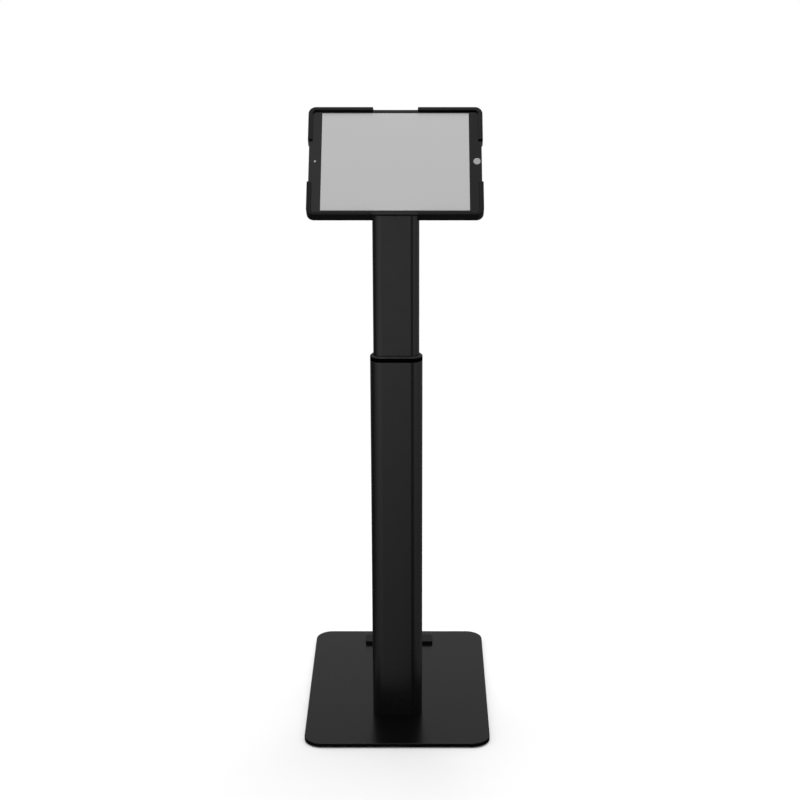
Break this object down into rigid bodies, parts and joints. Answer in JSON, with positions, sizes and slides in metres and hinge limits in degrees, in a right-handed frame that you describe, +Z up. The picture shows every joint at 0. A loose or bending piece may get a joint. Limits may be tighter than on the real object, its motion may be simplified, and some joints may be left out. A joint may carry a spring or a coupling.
{
  "type": "adjustable tablet floor stand",
  "caption": "Free-standing stand with a flat base, a telescoping flattened column and a tilting, turning cradle whose corner guards hold a tablet.",
  "frame": {"origin": "on the floor under the middle of the base plate", "axes": "+Z up, the tablet faces -Y, +X to the right as seen by the user"},
  "size_m": [0.294, 0.4, 0.9852],
  "materials": {
    "powder_coat": "satin black powder coat",
    "tube_coat": "satin black coat on aluminium tube",
    "rubber": "matt black",
    "bridge_plastic": "matt black",
    "collar_plastic": "matt deep black",
    "glide_plastic": "natural acetal",
    "spigot_metal": "sawn block",
    "black_screw": "black oxide",
    "zinc_steel": "bright zinc",
    "boss_metal": "black anodised",
    "knob_plastic": "fine texture",
    "knob_cap_plastic": "semi gloss",
    "head_casting": "satin black coat on a casting",
    "washer_plastic": "nylon",
    "rotor_metal": "satin black",
    "backing_coat": "satin black",
    "shell_plastic": "satin black moulding",
    "pad_foam": "closed cell foam",
    "tablet_metal": "dark anodised, fine blasted",
    "tablet_glass": "dark border round a pale blank screen, polished glass",
    "display_panel": "pale grey",
    "lens_glass": "polished",
    "button_plastic": "pale satin"
  },
  "bodies": {
    "base": {"base_plate": "powder_coat", "foot_pads": "rubber", "cable_bridge": "bridge_plastic", "bridge_screws": "zinc_steel", "column_spigot": "spigot_metal", "base_screws": "zinc_steel", "lower_tube": "tube_coat", "spigot_screws": "black_screw", "cable_grommet": "rubber", "top_bushing": "collar_plastic", "bushing_screws": "black_screw", "clamp_boss": "boss_metal"},
    "brake": {"brake_pad": "glide_plastic"},
    "knob": {"knob_stud": "zinc_steel", "lock_knob": "knob_plastic", "knob_cap": "knob_cap_plastic"},
    "mast": {"upper_tube": "tube_coat", "lower_glide": "glide_plastic", "glide_screws": "zinc_steel", "upper_cap": "head_casting", "cap_screws": "black_screw", "hinge_washers": "washer_plastic"},
    "tilt_head": {"tilt_bracket": "head_casting", "hinge_bolt": "zinc_steel", "hinge_spring": "zinc_steel", "hinge_nut": "zinc_steel", "stop_pin": "zinc_steel", "turn_washer": "washer_plastic"},
    "cradle": {"rotor": "rotor_metal", "pivot_bolt": "zinc_steel", "pivot_nut": "zinc_steel", "pivot_spring": "zinc_steel", "rotor_screws": "black_screw", "backing_plate": "backing_coat", "cradle_screws": "black_screw", "cradle_shell": "shell_plastic", "cradle_pad": "pad_foam", "tablet_body": "tablet_metal", "tablet_display": "display_panel", "tablet_glass": "tablet_glass", "camera_lens": "lens_glass"},
    "home_key": {"home_button": "button_plastic"}
  },
  "joints": [
    {"name": "height_slide", "type": "slide", "parent": "base", "child": "mast", "axis": [0, 0, 1], "range_m": [-0.18, 0.2]},
    {"name": "brake_advance", "type": "slide", "parent": "base", "child": "brake", "axis": [0, 1, 0], "range_m": [0, 0.00125]},
    {"name": "lock_turn", "type": "hinge", "parent": "brake", "child": "knob", "pos_m": [0, -0.092, 0.576], "axis": [0, 1, 0], "range_deg": [0, 360]},
    {"name": "tilt_hinge", "type": "hinge", "parent": "mast", "child": "tilt_head", "pos_m": [0, -0.092, 0.886], "axis": [1, 0, 0], "range_deg": [-49, 40]},
    {"name": "cradle_turn", "type": "hinge", "parent": "tilt_head", "child": "cradle", "pos_m": [0, -0.092, 0.886], "axis": [0, -0.7588, 0.6513], "range_deg": [0, 90]},
    {"name": "home_press", "type": "slide", "parent": "cradle", "child": "home_key", "axis": [0, 0.7588, -0.6513], "range_m": [0, 0.0003], "stiffness_N_per_m": 2000}
  ],
  "couplings": [
    {"joint": "brake_advance", "follows": "lock_turn", "m_per_rad": 0.000198}
  ]
}
